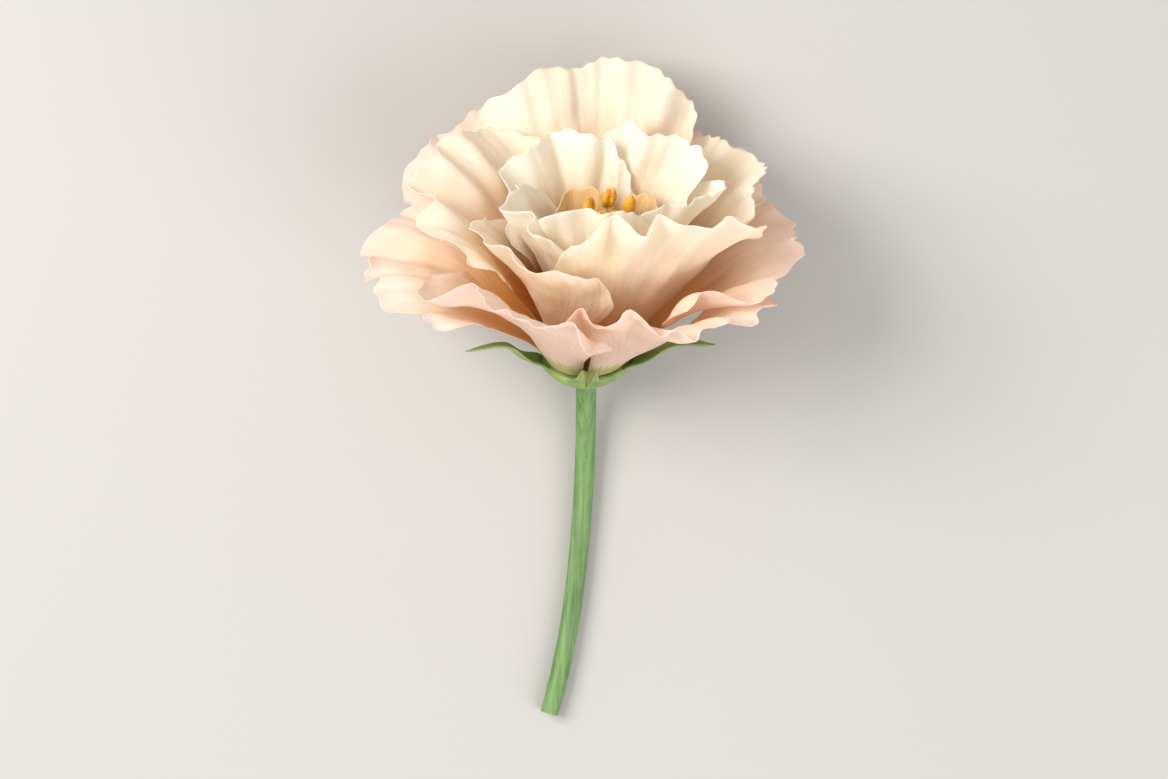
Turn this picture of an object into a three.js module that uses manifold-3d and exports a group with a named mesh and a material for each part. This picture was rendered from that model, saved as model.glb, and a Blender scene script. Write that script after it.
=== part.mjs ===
// A double lisianthus flower, picked with its own stalk and laid down, in millimetres with +Z up.
// It rests on two outer petals and on the cut end of the stalk, and it looks up and along +Y.
// The origin is the middle of its footprint, on the surface that it lies on.
//
// The bloom is worked out in a frame of its own: its axis is +Z, the receptacle's top is the origin,
// azimuth 90 degrees is the side that lies down, and azimuth 0 the side that ends up at +X.

import * as THREE from "three";
import { mergeVertices } from "three/addons/utils/BufferGeometryUtils.js";
import Module from "manifold-3d";

const wasm = await Module();
wasm.setup();

const DEG = Math.PI / 180;
const TURN = 2 * Math.PI;

// ---- Pose ----
const BLOOM_TILT = 36 * DEG; // the bloom's axis above the level
const RECEPTACLE_AT = new THREE.Vector3(0.33, 5.64, 9.2); // the receptacle's top, from the origin

// ---- Shells: nested bells, numbered from 0, the innermost, to 3, the outermost, that petals lie in ----
const RING_RADIUS = [3.7, 4.65, 5.6, 6.55]; // of each whorl's ring of petal bases
const BASE_LIFT = 0.45; // from the receptacle to a petal's base
const LEAN_AT_BASE = [4, 8, 16, 28]; // degrees from the bloom's axis
const LEAN_AT_RIM = [
  // the same, RIM_REACH up a petal, at azimuths 0, 45, 90 and on round
  [18, 14, 8, 16, 18, 8, 2, 6],
  [32, 28, 22, 37, 37, 20, 8, 14],
  [42, 45, 48, 54, 47, 32, 16, 22],
  [59, 59, 61, 65, 76, 46, 40, 55],
];
const RIM_REACH = 40;
const LEAN_BUILD_UP = [1.4, 1.2, 0.9, 0.6]; // how late along a petal the lean builds up: 1 is evenly
const SHELL_STEPS = 16; // that a shell's curve is summed in
const SIDE_LEAN = 0.12; // how far the bloom's heart stands to the right, per mm of height
const FRONT_LEAN = 0.12; // how far it stands to the front, per mm of height

// ---- Petals ----
const PETAL_THICKNESS = 0.6;
const OVERLAP_TILT = 0.28; // how far a petal's right edge lies outside its middle, in whorls
const TILTED_FROM = 0.3; // the tilt is whole from this share of a petal's length
const CLAW_SHARE = 0.46; // a claw's reach to each side, as a share of the angle to the next petal
const CLAW_UP_TO = 0.2; // a petal is a narrow claw up to this share of its length
const WIDEST_AT = 0.7; // and widest at this share
const TOP_NARROWING = 0.08; // how much of its width it loses from there to the tip
const CORNER_ACROSS_POWER = 3; // how near its sides a petal grows shorter: a higher one is nearer
const CORNER_ALONG_POWER = 2; // and how near its rim
const WAVED_FROM = 0.42; // a petal waves from this share of its length
const WAVED_FROM_SPREAD = 0.12; // and from this much sooner or later,
const WAVED_FROM_SWINGS = 5; // this many times round the whorl
const WAVE_BUNCHING = 0.12; // how far waves bunch up and spread out, in radians,
const WAVE_BUNCHES = 3; // this many times round the whorl
const WAVE_SLANT = 0.1; // how far a wave's folds run aside up a petal, in radians
const SHORT_WAVE = 0.7; // height of a whorl's shorter waves beside its longer ones
const LIP = 0.12; // how far a petal's rim turns outward, in whorls
const LIP_FROM = 0.72; // from this share of its length
// A whorl's wave height is in whorls, and its waves are the longer and the shorter ones, counted round it.
// One row for each petal: azimuth in degrees, length and greatest half width in mm, and how much shorter
// it is at its corners.
const WHORLS = [
  {
    name: "heart_petal",
    color: 0xfaf0dc,
    wave: 0.12,
    waves: [5, 8],
    start: 0.4,
    grid: [9, 6],
    petals: [
      [35, 29, 5.8, 0.3],
      [122, 29, 6.0, 0.3],
      [212, 27, 5.2, 0.3],
      [302, 27, 5.0, 0.3],
    ],
  },
  {
    name: "inner_petal",
    color: 0xf9edd8,
    wave: 0.22,
    waves: [8, 13],
    start: 1.3,
    grid: [18, 7],
    petals: [
      [55, 37, 12.5, 0.28],
      [123, 36, 13.0, 0.28],
      [189, 34, 10.8, 0.28],
      [257, 37, 10.0, 0.26],
      [335, 37, 11.5, 0.28],
    ],
  },
  {
    name: "middle_petal",
    color: 0xf8e8d2,
    wave: 0.24,
    waves: [10, 17],
    start: 3.0,
    grid: [22, 7],
    petals: [
      [25, 37, 17.0, 0.28],
      [95, 46, 17.5, 0.28],
      [158, 41, 17.5, 0.28],
      [216, 33, 15.5, 0.26],
      [298, 41, 15.5, 0.26],
    ],
  },
  {
    name: "outer_petal",
    color: 0xf6dfcb,
    wave: 0.22,
    waves: [11, 18],
    start: 5.0,
    grid: [24, 8],
    petals: [
      [0, 32, 20.0, 0.24],
      [60, 36, 17.5, 0.26],
      [116, 42, 18.5, 0.26],
      [172, 35, 18.5, 0.26],
      [230, 35, 16.5, 0.26],
      [304, 30, 19.5, 0.26],
    ],
  },
];

// ---- Calyx: a cone under the petals and five narrow sepals, grown together ----
const CALYX_PROFILE = [
  // radius and height above the receptacle's top
  [0, -5.2],
  [1.9, -5.2],
  [4.8, -3.4],
  [7.3, -1.1],
  [7.3, 0],
  [0, 0],
];
const CALYX_SIDES = 30;
const SEPAL_AZIMUTHS = [54, 126, 198, 270, 342];
const SEPAL_SHELL = 4.2; // the shell that sepals start in, outside the outer petals' shell
const SEPAL_HUG = 0.5; // how many shells nearer to the petals they lie further up
const SEPAL_HUG_FROM = 0.2; // the share of a sepal's length where it starts to come nearer
const SEPAL_HUG_TO = 0.6; // and where it is nearest
const SEPAL_CURL = 0.45; // how many shells its tip curls out again
const SEPAL_ROOT = -2.2; // where along its shell a sepal starts, inside the cone
const SEPAL_TIP = 14.5;
const SEPAL_HALF_WIDTH = 2.4;
const SEPAL_TAPER = 0.85; // how much of its width it has lost at the tip
const SEPAL_TAPER_POWER = 1.5; // how late along it that loss comes
const SEPAL_THICKNESS = 0.6;
const SEPAL_GRID = [4, 7];

// ---- Stalk ----
const STALK_RADIUS = 1.5;
const STALK_SIDES = 12;
const STALK_STEPS = 30;
const STALK_GAP = 0.3; // between the stalk's top and the calyx
const STALK_NECK = 10; // how far its top's direction carries down the stalk
const STALK_END = new THREE.Vector3(-5.57, -51.66, STALK_RADIUS); // the middle of the cut end
const STALK_END_PULL = new THREE.Vector3(6, 20, 0.4); // how far the cut end's direction carries up it

// ---- Pistil and stamens ----
const PISTIL_PROFILE = [
  // radius and height of the ovary and of the style on it
  [0, 0.35],
  [1.5, 0.35],
  [1.9, 3],
  [1.75, 8],
  [1.1, 13],
  [0.55, 17],
  [0.5, 28.5],
  [0, 28.5],
];
const PISTIL_SIDES = 12;
const STIGMA_LOBE = new THREE.Vector3(1.1, 0.85, 0.7); // half sizes
const STIGMA_HEIGHT = 28.5;
const STIGMA_LOBE_OUT = 0.8;
const STAMENS = 5;
const STAMEN_START = 20 * DEG;
const FILAMENT_RADIUS = 0.4;
const FILAMENT_BASE_AT = 2.7; // from the axis
const FILAMENT_TOP_AT = 3.2;
const FILAMENT_HEIGHT = 29.5;
const FILAMENT_SIDES = 6;
const FILAMENT_STEPS = 6;
const ANTHER = new THREE.Vector3(0.95, 1.1, 2.1); // half sizes: thick, wide, long
const ROUND_SIDES = 12; // of a stigma lobe or an anther
const ROUND_RINGS = 8;

// ---- Colours and finish ----
const STAMEN_COLOR = 0xd9a020;
const PISTIL_COLOR = 0xb4b83c;
const CALYX_COLOR = 0x7f9a4f;
const STALK_COLOR = 0x6f9056;
const ROUGHNESS = 0.6;

// ---- Meshes ----
const MERGED_WITHIN = 1e-5; // points of a solid that lie this near are one
const NORMAL_STEP = 0.01; // of along and across, either way, that a blade's normal is taken from

// ---- Curves through lists of values ----
const { smoothstep, lerp } = THREE.MathUtils;

// A smooth curve through four values in a row, a share t of the way from the second to the third.
function cubic(before, from, to, after, t) {
  const slopeFrom = (to - before) / 2;
  const slopeTo = (after - from) / 2;
  const rise = to - from;
  const bend = 3 * rise - 2 * slopeFrom - slopeTo;
  return from + t * (slopeFrom + t * (bend + t * (slopeFrom + slopeTo - 2 * rise)));
}

// The value of a list at a place between its entries, run straight on past its ends.
function between(list, place) {
  const last = list.length - 1;
  if (place <= 0) return list[0] + (list[1] - list[0]) * place;
  if (place >= last) return list[last] + (list[last] - list[last - 1]) * (place - last);
  const i = Math.floor(place);
  const before = i > 0 ? list[i - 1] : 2 * list[0] - list[1];
  const after = i + 2 <= last ? list[i + 2] : 2 * list[last] - list[last - 1];
  return cubic(before, list[i], list[i + 1], after, place - i);
}

// The value at an azimuth of a list that goes once round, closing on itself.
function around(list, azimuth) {
  const place = THREE.MathUtils.euclideanModulo(azimuth / TURN, 1) * list.length;
  const i = Math.floor(place);
  const entry = (k) => list[(k + list.length) % list.length];
  return cubic(entry(i - 1), entry(i), entry(i + 1), entry(i + 2), place - i);
}

// ---- A point `run` mm up a petal, at an azimuth, in a whorl's shell or between two ----
// Shells never cross, so petals that keep their order in them never cross either.
function shellPoint(run, azimuth, whorl) {
  const low = between(LEAN_AT_BASE, whorl) * DEG;
  const rims = LEAN_AT_RIM.map((row) => around(row, azimuth));
  const high = between(rims, whorl) * DEG;
  const buildUp = between(LEAN_BUILD_UP, whorl);
  const step = run / SHELL_STEPS;
  let radius = between(RING_RADIUS, whorl);
  let height = BASE_LIFT;
  for (let i = 0; i < SHELL_STEPS; i++) {
    const share = Math.max(0, (step * (i + 0.5)) / RIM_REACH);
    const lean = low + (high - low) * share ** buildUp;
    radius += Math.sin(lean) * step;
    height += Math.cos(lean) * step;
  }
  return { radius, height };
}

function onShell(run, azimuth, whorl) {
  const { radius, height } = shellPoint(run, azimuth, whorl);
  const x = radius * Math.cos(azimuth) + SIDE_LEAN * height;
  const y = radius * Math.sin(azimuth) - FRONT_LEAN * height;
  return new THREE.Vector3(x, y, height);
}

const poseMatrix = new THREE.Matrix4().makeRotationX(BLOOM_TILT - 90 * DEG).setPosition(RECEPTACLE_AT);
const intoPose = (point) => point.applyMatrix4(poseMatrix);

// ---- One petal's middle surface: along runs from 0 at the base to 1, across from -1 to 1 ----
// A whorl's waves run on from petal to petal, so petals that overlap wave together.
function petalSurface(whorl, { petals, wave, waves, start }, k) {
  const [azimuth, length, half, corner] = petals[k];
  const count = petals.length;
  const toNext = (petals[(k + 1) % count][0] - azimuth + 360) % 360;
  const toLast = (azimuth - petals[(k + count - 1) % count][0] + 360) % 360;
  const fullAngle = half / shellPoint(length * WIDEST_AT, azimuth * DEG, whorl).radius;
  return (along, across) => {
    const cornerDrop = corner * Math.abs(across) ** CORNER_ACROSS_POWER * along ** CORNER_ALONG_POWER;
    const run = length * along * (1 - cornerDrop);
    const widening = smoothstep(along, CLAW_UP_TO, WIDEST_AT);
    const narrowing = 1 - TOP_NARROWING * smoothstep(along, WIDEST_AT, 1);
    const clawAngle = CLAW_SHARE * (across > 0 ? toNext : toLast) * DEG;
    const halfAngle = lerp(clawAngle, fullAngle, widening) * narrowing;
    const here = azimuth * DEG + halfAngle * across;
    const tilt = OVERLAP_TILT * across * smoothstep(along, 0, TILTED_FROM);
    const bunched = here + WAVE_BUNCHING * Math.sin(WAVE_BUNCHES * here + start);
    const slant = WAVE_SLANT * along;
    const longWave = Math.sin(waves[0] * (bunched + slant) + start);
    const shortWave = Math.sin(waves[1] * (bunched - slant) - start);
    const wavedFrom = WAVED_FROM + WAVED_FROM_SPREAD * Math.sin(WAVED_FROM_SWINGS * here + start);
    const swing = (longWave + SHORT_WAVE * shortWave) / (1 + SHORT_WAVE);
    const ruffle = wave * smoothstep(along, wavedFrom, 1) * swing;
    const lip = LIP * smoothstep(along, LIP_FROM, 1);
    return intoPose(onShell(run, here, whorl + tilt + ruffle + lip));
  };
}

// ---- A closed blade of even thickness about a surface, split into triangles alike on both faces ----
// No part of its middle lies lower than half its thickness, so what meets the ground lies flat on it.
function blade(surface, cellsAcross, cellsAlong, thickness) {
  const positions = [];
  const indices = [];
  const columns = cellsAcross + 1;
  const rows = cellsAlong + 1;
  const step = NORMAL_STEP;
  const laid = (along, across) => {
    const point = surface(along, across);
    point.z = Math.max(point.z, thickness / 2);
    return point;
  };
  for (const side of [1, -1]) {
    for (let j = 0; j < rows; j++) {
      for (let i = 0; i < columns; i++) {
        const along = j / cellsAlong;
        const across = (2 * i) / cellsAcross - 1;
        const acrossBy = laid(along, across + step).sub(laid(along, across - step));
        const alongBy = laid(along + step, across).sub(laid(Math.max(0, along - step), across));
        const normal = acrossBy.cross(alongBy).normalize();
        positions.push(...laid(along, across).addScaledVector(normal, (side * thickness) / 2));
      }
    }
  }
  const upper = (i, j) => j * columns + i;
  const lower = (i, j) => rows * columns + upper(i, j);
  const quad = (a, b, c, d) => indices.push(a, b, c, a, c, d);
  for (let j = 0; j < cellsAlong; j++) {
    for (let i = 0; i < cellsAcross; i++) {
      quad(upper(i, j), upper(i + 1, j), upper(i + 1, j + 1), upper(i, j + 1));
      const [a, b, c, d] = [lower(i, j), lower(i + 1, j), lower(i + 1, j + 1), lower(i, j + 1)];
      indices.push(a, c, b, a, d, c);
    }
  }
  for (let i = 0; i < cellsAcross; i++) {
    quad(lower(i, 0), lower(i + 1, 0), upper(i + 1, 0), upper(i, 0));
    quad(upper(i, cellsAlong), upper(i + 1, cellsAlong), lower(i + 1, cellsAlong), lower(i, cellsAlong));
  }
  for (let j = 0; j < cellsAlong; j++) {
    quad(upper(0, j), upper(0, j + 1), lower(0, j + 1), lower(0, j));
    quad(lower(cellsAcross, j), lower(cellsAcross, j + 1), upper(cellsAcross, j + 1), upper(cellsAcross, j));
  }
  const geometry = new THREE.BufferGeometry();
  geometry.setAttribute("position", new THREE.Float32BufferAttribute(positions, 3));
  geometry.setIndex(indices);
  geometry.computeVertexNormals();
  return geometry;
}

// ---- Joining solids that grew together ----
function toSolid(geometry) {
  const bare = geometry.clone();
  bare.deleteAttribute("normal");
  bare.deleteAttribute("uv");
  const merged = mergeVertices(bare, MERGED_WITHIN);
  const vertProperties = new Float32Array(merged.attributes.position.array);
  const triVerts = new Uint32Array(merged.index.array);
  return new wasm.Manifold(new wasm.Mesh({ numProp: 3, vertProperties, triVerts }));
}

function join(geometries) {
  const whole = geometries.map(toSolid).reduce((sum, solid) => sum.add(solid));
  const { vertProperties, triVerts } = whole.getMesh();
  const geometry = new THREE.BufferGeometry();
  geometry.setAttribute("position", new THREE.Float32BufferAttribute(vertProperties, 3));
  geometry.setIndex([...triVerts]);
  geometry.computeVertexNormals();
  return geometry;
}

// ---- Round forms ----
// A profile of radius and height turned about the bloom's axis.
function turned(profile, sides) {
  const points = profile.map(([radius, height]) => new THREE.Vector2(radius, height));
  return new THREE.LatheGeometry(points, sides).rotateX(90 * DEG);
}

function tube(curve, radius, sides, steps) {
  const section = new THREE.Shape();
  section.moveTo(radius, 0);
  for (let i = 1; i < sides; i++) {
    const angle = (TURN * i) / sides;
    section.lineTo(radius * Math.cos(angle), radius * Math.sin(angle));
  }
  return new THREE.ExtrudeGeometry(section, { steps, bevelEnabled: false, extrudePath: curve });
}

function ellipsoid(half) {
  return new THREE.SphereGeometry(1, ROUND_SIDES, ROUND_RINGS).scale(half.x, half.y, half.z);
}

// ---- Calyx ----
function sepalSurface(azimuth) {
  return (along, across) => {
    const run = lerp(SEPAL_ROOT, SEPAL_TIP, along);
    const nearer = SEPAL_HUG * smoothstep(along, SEPAL_HUG_FROM, SEPAL_HUG_TO);
    const outAgain = SEPAL_CURL * smoothstep(along, SEPAL_HUG_TO, 1);
    const shell = SEPAL_SHELL - nearer + outAgain;
    const halfWidth = SEPAL_HALF_WIDTH * (1 - SEPAL_TAPER * along ** SEPAL_TAPER_POWER);
    const halfAngle = halfWidth / shellPoint(run, azimuth, shell).radius;
    return intoPose(onShell(run, azimuth + halfAngle * across, shell));
  };
}

function calyx() {
  const cone = turned(CALYX_PROFILE, CALYX_SIDES).applyMatrix4(poseMatrix);
  const sepals = SEPAL_AZIMUTHS.map((degrees) => {
    return blade(sepalSurface(degrees * DEG), ...SEPAL_GRID, SEPAL_THICKNESS);
  });
  return join([cone, ...sepals]);
}

// ---- Stalk: from the calyx it bends down to the level and runs on to its cut end ----
function stalk() {
  const axis = new THREE.Vector3(0, Math.cos(BLOOM_TILT), Math.sin(BLOOM_TILT));
  const calyxEnd = CALYX_PROFILE[0][1];
  const top = RECEPTACLE_AT.clone().addScaledVector(axis, calyxEnd - STALK_GAP);
  const neck = top.clone().addScaledVector(axis, -STALK_NECK);
  const beforeEnd = STALK_END.clone().add(STALK_END_PULL);
  const curve = new THREE.CubicBezierCurve3(top, neck, beforeEnd, STALK_END);
  return tube(curve, STALK_RADIUS, STALK_SIDES, STALK_STEPS);
}

// ---- Pistil and stamens: they lean with the heart of the bloom ----
const heartLean = new THREE.Matrix4().makeShear(0, 0, 0, 0, SIDE_LEAN, -FRONT_LEAN);
const inHeart = (geometry) => geometry.applyMatrix4(heartLean).applyMatrix4(poseMatrix);

// An ovary that runs up into a style, with a stigma of two lobes.
function pistil() {
  const lobes = [-1, 1].map((side) => {
    return ellipsoid(STIGMA_LOBE).translate(side * STIGMA_LOBE_OUT, 0, STIGMA_HEIGHT);
  });
  return join([turned(PISTIL_PROFILE, PISTIL_SIDES), ...lobes].map(inHeart));
}

// A filament with its anther.
function stamen(azimuth) {
  const at = (radius, height) => {
    return new THREE.Vector3(radius * Math.cos(azimuth), radius * Math.sin(azimuth), height);
  };
  const top = at(FILAMENT_TOP_AT, FILAMENT_HEIGHT);
  const curve = new THREE.LineCurve3(at(FILAMENT_BASE_AT, BASE_LIFT), top);
  const filament = tube(curve, FILAMENT_RADIUS, FILAMENT_SIDES, FILAMENT_STEPS);
  const anther = ellipsoid(ANTHER).rotateZ(azimuth).translate(top.x, top.y, top.z);
  return join([filament, anther].map(inHeart));
}

// ---- The flower ----
const flower = new THREE.Group();
function addPiece(name, geometry, color) {
  const material = new THREE.MeshStandardMaterial({ color, roughness: ROUGHNESS, metalness: 0 });
  const mesh = new THREE.Mesh(geometry, material);
  mesh.name = name;
  flower.add(mesh);
}

WHORLS.forEach((kind, whorl) => {
  kind.petals.forEach((row, k) => {
    const surface = petalSurface(whorl, kind, k);
    addPiece(`${kind.name}_${k + 1}`, blade(surface, ...kind.grid, PETAL_THICKNESS), kind.color);
  });
});

for (let k = 0; k < STAMENS; k++) {
  addPiece(`stamen_${k + 1}`, stamen(STAMEN_START + (TURN * k) / STAMENS), STAMEN_COLOR);
}
addPiece("pistil", pistil(), PISTIL_COLOR);
addPiece("calyx", calyx(), CALYX_COLOR);
addPiece("stalk", stalk(), STALK_COLOR);

export default flower;
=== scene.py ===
"""The looks of a double lisianthus flower, picked with its stalk, that lies on a pale floor."""

import math

import bpy
import numpy as np
from mathutils import Matrix, Vector


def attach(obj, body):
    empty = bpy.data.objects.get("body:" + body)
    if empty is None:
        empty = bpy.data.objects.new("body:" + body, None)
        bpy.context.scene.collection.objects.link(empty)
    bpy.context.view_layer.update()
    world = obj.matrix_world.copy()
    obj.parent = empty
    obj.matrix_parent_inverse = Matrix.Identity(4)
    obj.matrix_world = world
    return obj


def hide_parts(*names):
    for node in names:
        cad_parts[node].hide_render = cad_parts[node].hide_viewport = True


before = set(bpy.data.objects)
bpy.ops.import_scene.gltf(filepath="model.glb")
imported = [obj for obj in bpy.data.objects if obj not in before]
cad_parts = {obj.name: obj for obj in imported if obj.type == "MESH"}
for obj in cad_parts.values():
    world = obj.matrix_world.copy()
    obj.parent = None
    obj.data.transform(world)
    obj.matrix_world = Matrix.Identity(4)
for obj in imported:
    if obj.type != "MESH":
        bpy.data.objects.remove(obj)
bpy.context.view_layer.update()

MM = 0.001
DEG = math.pi / 180
TURN = 2 * math.pi

# ---- The bloom's frame: its axis is +Z, the receptacle's top is its origin, azimuth 90 lies down ----
BLOOM_TILT = 36 * DEG  # the bloom's axis above the level
RECEPTACLE_AT = np.array([0.33, 5.64, 9.2])  # in mm, from the flower's origin
INTO_POSE = np.array(Matrix.Rotation(BLOOM_TILT - 90 * DEG, 3, "X"))

# ---- Shells that the petals lie in, from whorl 0, the heart, to whorl 3, the outermost; all in mm ----
RING_RADIUS = [3.7, 4.65, 5.6, 6.55]  # of each whorl's ring of petal bases
BASE_LIFT = 0.45  # from the receptacle to a petal's base
LEAN_AT_BASE = [4, 8, 16, 28]  # degrees from the bloom's axis
LEAN_AT_RIM = [  # the same, RIM_REACH up a petal, at azimuths 0, 45, 90 and on round
    [18, 14, 8, 16, 18, 8, 2, 6],
    [32, 28, 22, 37, 37, 20, 8, 14],
    [42, 45, 48, 54, 47, 32, 16, 22],
    [59, 59, 61, 65, 76, 46, 40, 55],
]
RIM_REACH = 40
LEAN_BUILD_UP = [1.4, 1.2, 0.9, 0.6]  # how late along a petal the lean builds up: 1 is evenly
SHELL_STEPS = 16  # that a shell's curve is summed in
SIDE_LEAN = 0.12  # how far the bloom's heart stands to the right, per mm of height
FRONT_LEAN = 0.12  # how far it stands to the front, per mm of height

# ---- Petal outlines and folds, as in the solids ----
OVERLAP_TILT = 0.28  # how far a petal's right edge lies outside its middle, in whorls
TILTED_FROM = 0.3  # the tilt is whole from this share of a petal's length
CLAW_SHARE = 0.46  # a claw's reach to each side, as a share of the angle to the next petal
CLAW_UP_TO = 0.2  # a petal is a narrow claw up to this share of its length
WIDEST_AT = 0.7  # and widest at this share
TOP_NARROWING = 0.08  # how much of its width it loses from there to the tip
CORNER_ACROSS_POWER = 3  # how near its sides a petal grows shorter: a higher one is nearer
CORNER_ALONG_POWER = 2  # and how near its rim
WAVED_FROM = 0.42  # a petal waves from this share of its length
WAVED_FROM_SPREAD = 0.12  # and from this much sooner or later,
WAVED_FROM_SWINGS = 5  # this many times round the whorl
WAVE_BUNCHING = 0.12  # how far waves bunch up and spread out, in radians,
WAVE_BUNCHES = 3  # this many times round the whorl
WAVE_SLANT = 0.1  # how far a wave's folds run aside up a petal, in radians
SHORT_WAVE = 0.7  # height of a whorl's shorter waves beside its longer ones
LIP = 0.12  # how far a petal's rim turns outward, in whorls
LIP_FROM = 0.72  # from this share of its length
GROUND_CLEARANCE = 0.22  # of a middle surface that lies on the floor

# A whorl's wave and frill are heights in whorls, of its folds and of the small waves at its rims. Its waves
# are the longer and the shorter folds, counted round it, and its grid the cells across and along a petal.
# One row for each petal: azimuth, length, greatest half width, and how much shorter it is at its corners.
WHORLS = [
    {
        "name": "heart_petal", "slot": "heart_petals", "wave": 0.12, "waves": [5, 8], "start": 0.4,
        "grid": (56, 60), "frill": 0.16,
        "petals": [
            (35, 29, 5.8, 0.3),
            (122, 29, 6.0, 0.3),
            (212, 27, 5.2, 0.3),
            (302, 27, 5.0, 0.3),
        ],
    },
    {
        "name": "inner_petal", "slot": "inner_petals", "wave": 0.22, "waves": [8, 13], "start": 1.3,
        "grid": (96, 72), "frill": 0.15,
        "petals": [
            (55, 37, 12.5, 0.28),
            (123, 36, 13.0, 0.28),
            (189, 34, 10.8, 0.28),
            (257, 37, 10.0, 0.26),
            (335, 37, 11.5, 0.28),
        ],
    },
    {
        "name": "middle_petal", "slot": "middle_petals", "wave": 0.24, "waves": [10, 17], "start": 3.0,
        "grid": (120, 80), "frill": 0.11,
        "petals": [
            (25, 37, 17.0, 0.28),
            (95, 46, 17.5, 0.28),
            (158, 41, 17.5, 0.28),
            (216, 33, 15.5, 0.26),
            (298, 41, 15.5, 0.26),
        ],
    },
    {
        "name": "outer_petal", "slot": "outer_petals", "wave": 0.22, "waves": [11, 18], "start": 5.0,
        "grid": (120, 80), "frill": 0.13,
        "petals": [
            (0, 32, 20.0, 0.24),
            (60, 36, 17.5, 0.26),
            (116, 42, 18.5, 0.26),
            (172, 35, 18.5, 0.26),
            (230, 35, 16.5, 0.26),
            (304, 30, 19.5, 0.26),
        ],
    },
]

# ---- What gives a petal its fine form ----
FRILL_LENGTHS = (8.0, 5.4, 3.7)  # lengths of the small waves along the rim
FRILL_SHARES = (0.5, 0.32, 0.18)  # and how much of the frill's height each has
FRILLED_FROM = 0.5  # the frill grows from this share of the petal's length
PLEAT_LENGTH = 2.0  # from one fine pleat to the next along the rim
PLEAT_HEIGHT = 0.09
PLEATED_FROM = 0.7
TOOTH_HEIGHT = 0.25  # of the small scallops in the rim, each at a pleat
TOOTHED_FROM = 0.88
FRILL_IN_TEETH = 0.6  # how much the frill shows in them
SCALLOP_LENGTHS = (15.0, 9.0, 5.5)  # lengths of the larger ones, which come unevenly
SCALLOP_SHARES = (0.45, 0.35, 0.2)
SCALLOP_HEIGHT = 1.1  # on a petal whose half width is SCALLOPED_WHOLLY_AT, and less on a narrower one
SCALLOPED_WHOLLY_AT = 20
SCALLOPED_FROM = 0.6
WAVE_DRIFT = 0.35  # how far a small wave drifts from an even beat, as a share of its length
WAVE_DRIFT_PACE = 0.9  # how fast that drift comes and goes
CRUMPLE_LENGTHS = (11.0, 7.5, 5.0)  # lengths of the soft crumples over the blade
CRUMPLES_EACH = 2  # of each length
CRUMPLE_HEIGHT = 0.4
CRUMPLED_FROM = 0.3
CRUMPLED_WHOLLY_FROM = 0.6
CRUMPLE_HEADING = 1.3  # how far at most a crumple turns away from the folds, in radians
CRUMPLE_BOW = 0.8  # how far it bows, in radians of its wave
FOLD_BEND = 0.04  # how far the folds of a whorl swing aside, in radians,
FOLD_BENDS_UP = 6  # on their way up, in radians of that swing,
FOLD_BENDS_ROUND = 4  # and this many times round the whorl
FOLD_FADING = 0.35  # the share of a fold's height that is lost where the folds lie flattest
FOLD_FADES_UP = 5  # how the fading comes and goes on the way up, in radians,
FOLD_FADES_ROUND = 3  # and how often round the whorl
OFF_FLOOR = (0.5, 2.0)  # heights between which the fine form grows, so that a petal lies flat on the floor
BLADE_THICKNESS = 0.34
RIM_THINNESS = 0.3  # the rim's thickness as a share of the blade's
RIM_WIDTH = 0.12  # of the thinner rim, as a share of the petal's length
SEED = 7
SEED_STEP = 100  # from one whorl's first seed to the next one's
STAMEN_SEED = SEED + 500
SEPAL_SEED = SEED + 900

# ---- Calyx: a cup under the petals and five sepals ----
CUP_PROFILE = [  # radius and height above the receptacle's top
    (0, -5.2), (1.4, -5.2), (1.75, -4.95), (2.3, -4.75), (3.4, -4.35), (4.8, -3.45),
    (6.2, -2.2), (7.0, -1.1), (7.2, -0.45), (7.05, -0.1), (6.5, 0.0), (0, 0.0),
]
RIB_HEIGHT = 0.16  # of the rib that runs down the cup from each sepal
RIB_AT_RADIUS = 7.0
RIB_SHARPNESS = 8  # a higher one is narrower
RIB_RISES = (0.15, 0.4)  # shares of the profile's length between which a rib rises,
RIB_SINKS = (0.5, 0.62)  # and between which it sinks again
SEPAL_AZIMUTHS = [54, 126, 198, 270, 342]
SEPAL_SHELL = 4.2  # the shell that sepals start in, outside the outer petals' shell
SEPAL_HUG = 0.5  # how many shells nearer to the petals they lie further up
SEPAL_HUG_FROM = 0.2  # the share of a sepal's length where it starts to come nearer
SEPAL_HUG_TO = 0.6  # and where it is nearest
SEPAL_CURL = 0.45  # how many shells its tip curls out again
SEPAL_CURL_SPREAD = (0.4, 1.2)  # least and greatest share of that curl, drawn for each sepal
SEPAL_ROOT = -2.2  # where along its shell a sepal starts, inside the cup
SEPAL_TIP = 14.5
SEPAL_HALF_WIDTH = 2.2
SEPAL_TAPER = 0.95  # how much of its width it has lost at the tip
SEPAL_TAPER_POWER = 1.5  # how late along it that loss comes
SEPAL_THICKNESS = 0.42
SEPAL_EDGE_THINNESS = 0.3
SEPAL_SWEEP = 7 * DEG  # how far at most a sepal's tip turns aside
KEEL_HEIGHT = 0.55  # of the ridge along a sepal's back
KEEL_SHARPNESS = 1.6  # a higher one is narrower
KEEL_FADING = 0.7  # how much of its height it has lost at the tip
OUTSIDE_BY = 0.2  # how far out, in shells, the point lies that a keel's direction is taken from

# ---- Stalk ----
STALK_RADIUS = 1.5
STALK_TOP_SWELL = 1.1  # its radius at the top and at the cut end, as shares of STALK_RADIUS
STALK_END_SHARE = 0.96
STALK_INTO_CUP = 0.3
STALK_NECK = 10  # how far its top's direction carries down the stalk
STALK_END = np.array([-5.57, -51.66, STALK_RADIUS])  # the middle of the cut end
STALK_END_PULL = np.array([6, 20, 0.4])  # how far the cut end's direction carries up it

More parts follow.
